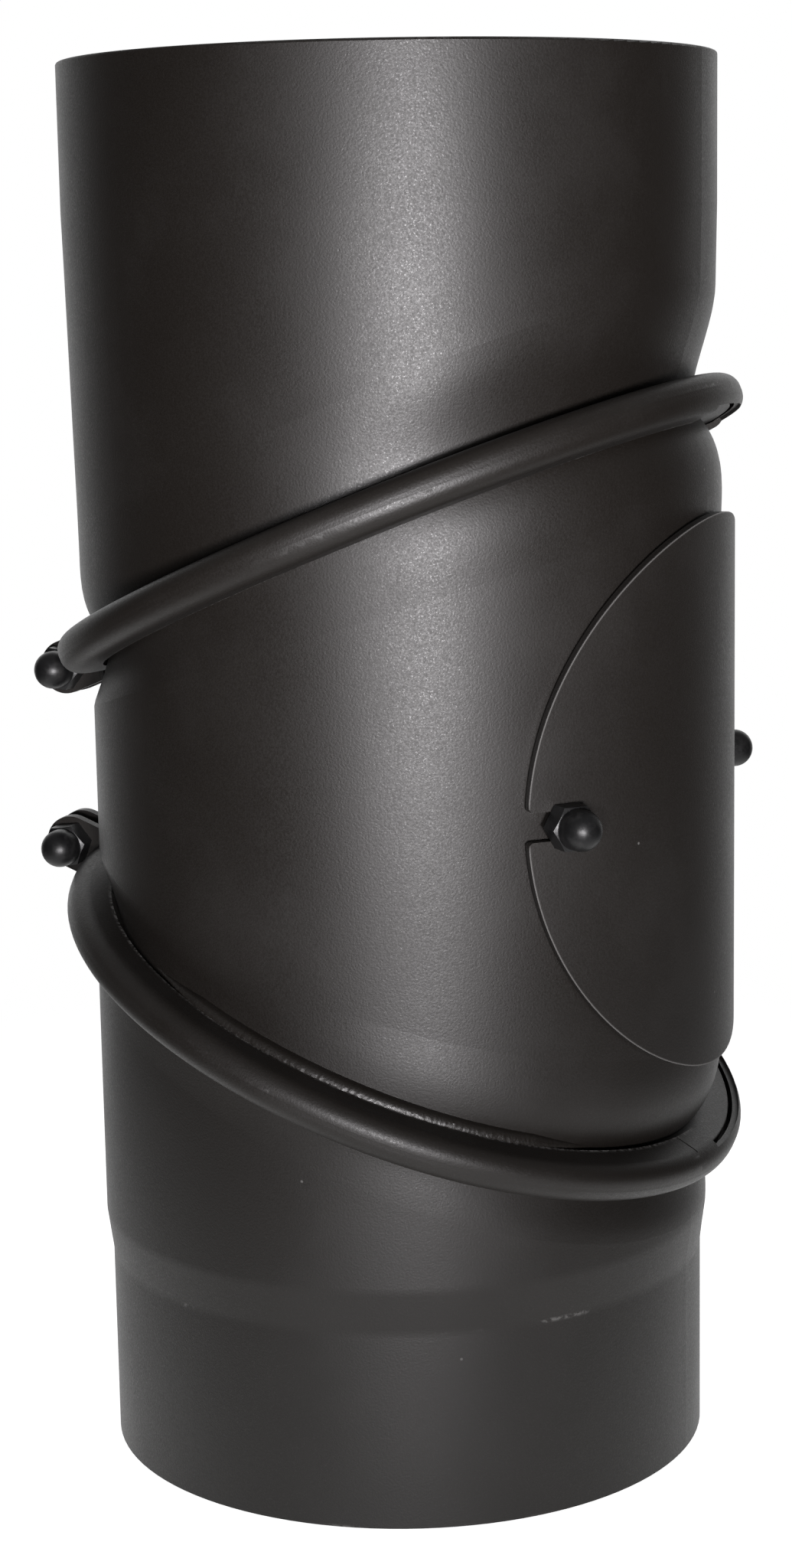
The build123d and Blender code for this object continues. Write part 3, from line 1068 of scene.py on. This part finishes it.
@dataclass(frozen=True)
class PhotoCamera:
    """Camera that the photograph was taken with, in metres and degrees.

    Attributes:
        focal_pixels: Focal length in pixels of the photograph.
        distance: Distance to the point that it looks at.
        azimuth: Angle around the elbow, from -Y toward +X.
        elevation: Angle above the horizon.
        roll: Turn about the line of sight.
        height: Height of the point that it looks at.
        aside: Offset of that point along the camera's right.
    """

    focal_pixels: float = 3884.2
    distance: float = 741.97 * MM
    azimuth: float = 23.53
    elevation: float = 10.28
    roll: float = -1.03
    height: float = 164.07 * MM
    aside: float = -0.75 * MM

    def outward(self) -> Vector:
        """Level unit direction from the elbow toward the camera."""
        turn = math.radians(self.azimuth)
        return Vector((math.sin(turn), -math.cos(turn), 0))

    def build(self) -> None:
        """Add the camera and make it the scene's own."""
        turn = math.radians(self.azimuth)
        rise = math.radians(self.elevation)
        back = self.outward() * math.cos(rise) + Vector((0, 0, math.sin(rise)))
        right = Vector((math.cos(turn), math.sin(turn), 0))
        upward = back.cross(right)
        roll = math.radians(self.roll)
        tilted_right = right * math.cos(roll) + upward * math.sin(roll)
        tilted_up = back.cross(tilted_right)
        data = bpy.data.cameras.new("photo_camera")
        data.sensor_width = LONG_SENSOR_SIDE
        data.lens = self.focal_pixels * LONG_SENSOR_SIDE / max(PHOTO_WIDTH, PHOTO_HEIGHT)
        data.clip_start = 10 * MM
        camera = bpy.data.objects.new("photo_camera", data)
        bpy.context.scene.collection.objects.link(camera)
        turned = Matrix((tilted_right, tilted_up, back)).transposed()
        stand = Vector((0, 0, self.height)) + right * self.aside + back * self.distance
        camera.matrix_world = Matrix.Translation(stand) @ turned.to_4x4()
        bpy.context.scene.camera = camera


@dataclass(frozen=True)
class SoftSpot:
    """Round studio light with a soft edge, beside the camera.

    Attributes:
        name: Name of the light.
        turn: Angle to the camera's right, in degrees.
        aim: Height that it points at.
        cone: Full angle of its cone, in degrees.
        power: Power in watts.
        distance: Distance from the elbow.
        height: Height of the light.
        size: Radius of its front.
        colour: Colour of the light.
    """

    name: str
    turn: float
    aim: float
    cone: float
    power: float
    distance: float = 1.6
    height: float = 0.17
    size: float = 0.12
    colour: Colour = (1.0, 0.976, 0.997)

    def build(self, camera: PhotoCamera) -> None:
        """Place the light.

        Args:
            camera: Camera that it stands beside.
        """
        data = bpy.data.lights.new(self.name, "SPOT")
        data.energy = self.power
        data.color = self.colour
        data.spot_size = math.radians(self.cone)
        data.spot_blend = 1.0
        data.shadow_soft_size = self.size
        light = bpy.data.objects.new(self.name, data)
        bpy.context.scene.collection.objects.link(light)
        turn = math.radians(camera.azimuth + self.turn)
        stand = Vector((math.sin(turn), -math.cos(turn), 0)) * self.distance
        light.location = stand + Vector((0, 0, self.height))
        sight = Vector((0, 0, self.aim)) - light.location
        light.rotation_euler = sight.to_track_quat("-Z", "Y").to_euler()
        light.visible_camera = False


@dataclass
class Studio:
    """Pale floor, white surroundings and two soft spots.

    Attributes:
        camera: Camera that the lights are set up for.
        spots: Key light and the weaker one at its left.
        floor_radius: Radius of the round floor.
        ceiling: Brightness of the white ceiling.
        ceiling_edge: Sines of the heights between which it starts and is full.
        side: Brightness of the dark room at both sides.
        backdrop: Brightness of the white wall behind the elbow.
        backdrop_edge: Cosines of the turns between which that wall starts and is full.
        backdrop_foot: Sines of the heights between which it starts and is full.
    """

    camera: PhotoCamera
    spots: tuple[SoftSpot, ...] = (
        SoftSpot("key_light", turn=7.9, aim=0.345, cone=26.0, power=216.0),
        SoftSpot("fill_light", turn=-6.0, aim=0.15, cone=19.0, power=60.0),
    )
    floor_radius: float = 0.6
    ceiling: float = 0.22
    ceiling_edge: Span = (0.25, 0.6)
    side: float = 0.03
    backdrop: float = 1.3
    backdrop_edge: Span = (0.55, 0.9)
    backdrop_foot: Span = (-0.45, -0.2)

    def build(self) -> None:
        """Set up the whole studio."""
        bpy.context.scene.view_settings.view_transform = "Standard"
        self.build_floor()
        self.build_surroundings()
        for spot in self.spots:
            spot.build(self.camera)
        self.camera.build()

    def build_floor(self) -> None:
        """Lay the round floor under the elbow."""
        mesh = bmesh.new()
        bmesh.ops.create_circle(mesh, cap_ends=True, segments=128, radius=self.floor_radius)
        data = bpy.data.meshes.new("studio_floor")
        mesh.to_mesh(data)
        mesh.free()
        data.materials.append(PaleFloor().dress("pale_floor"))
        floor = bpy.data.objects.new("studio_floor", data)
        bpy.context.scene.collection.objects.link(floor)

    def build_surroundings(self) -> None:
        """Make the room: white above and behind the elbow, dark at both sides, plain white to the eye."""
        world = bpy.data.worlds.new("studio_room")
        world.use_nodes = True
        bpy.context.scene.world = world
        sheet = ShaderSheet(world.node_tree)
        direction = sheet.node("ShaderNodeTexCoord", output="Generated")
        centre = Vector((0, 0, 0))
        behind = sheet.along(direction, centre, -self.camera.outward())
        above = sheet.along(direction, centre, Vector((0, 0, 1)))
        wall = behind.step(*self.backdrop_edge) * above.step(*self.backdrop_foot) * self.backdrop
        strength = above.step(*self.ceiling_edge) * (self.ceiling - self.side) + self.side + wall
        seen = sheet.number("ShaderNodeLightPath", output="Is Camera Ray")
        shown = strength * (1 - seen) + seen
        light = sheet.node("ShaderNodeBackground", None, {"Color": (1, 1, 1, 1), "Strength": shown})
        sheet.node("ShaderNodeOutputWorld", None, {"Surface": light})


def main() -> None:
    """Dress the elbow and set up its studio."""
    logging.basicConfig(level=logging.INFO, format="%(message)s")
    paint = StovePaint()
    door_paint = StovePaint(colour=(0.0066, 0.0054, 0.0045), roughness=0.51)
    steel = BlackSteel().dress("black_steel")
    fibre = FibreWeave().dress("fibre_weave")
    thread = Thread()
    PipeRun(paint).dress()
    for level in Level:
        clamp = SwivelClamp(level, paint, steel, fibre, thread, HexHead())
        clamp.dress()
        clamp.build_bolt()
    bead_paint = StovePaint(roughness=0.41, grain_depth=0.07 * MM).dress("bead_paint")
    CornerBead().build("lower_lip_bead", joint_named("lower_swivel"), bead_paint)
    hatch = CleaningHatch(door_paint, steel, fibre, thread)
    hatch.dress()
    for side in Side:
        hatch.build_stud(side)
    Studio(PhotoCamera()).build()


if __name__ == "__main__":
    main()
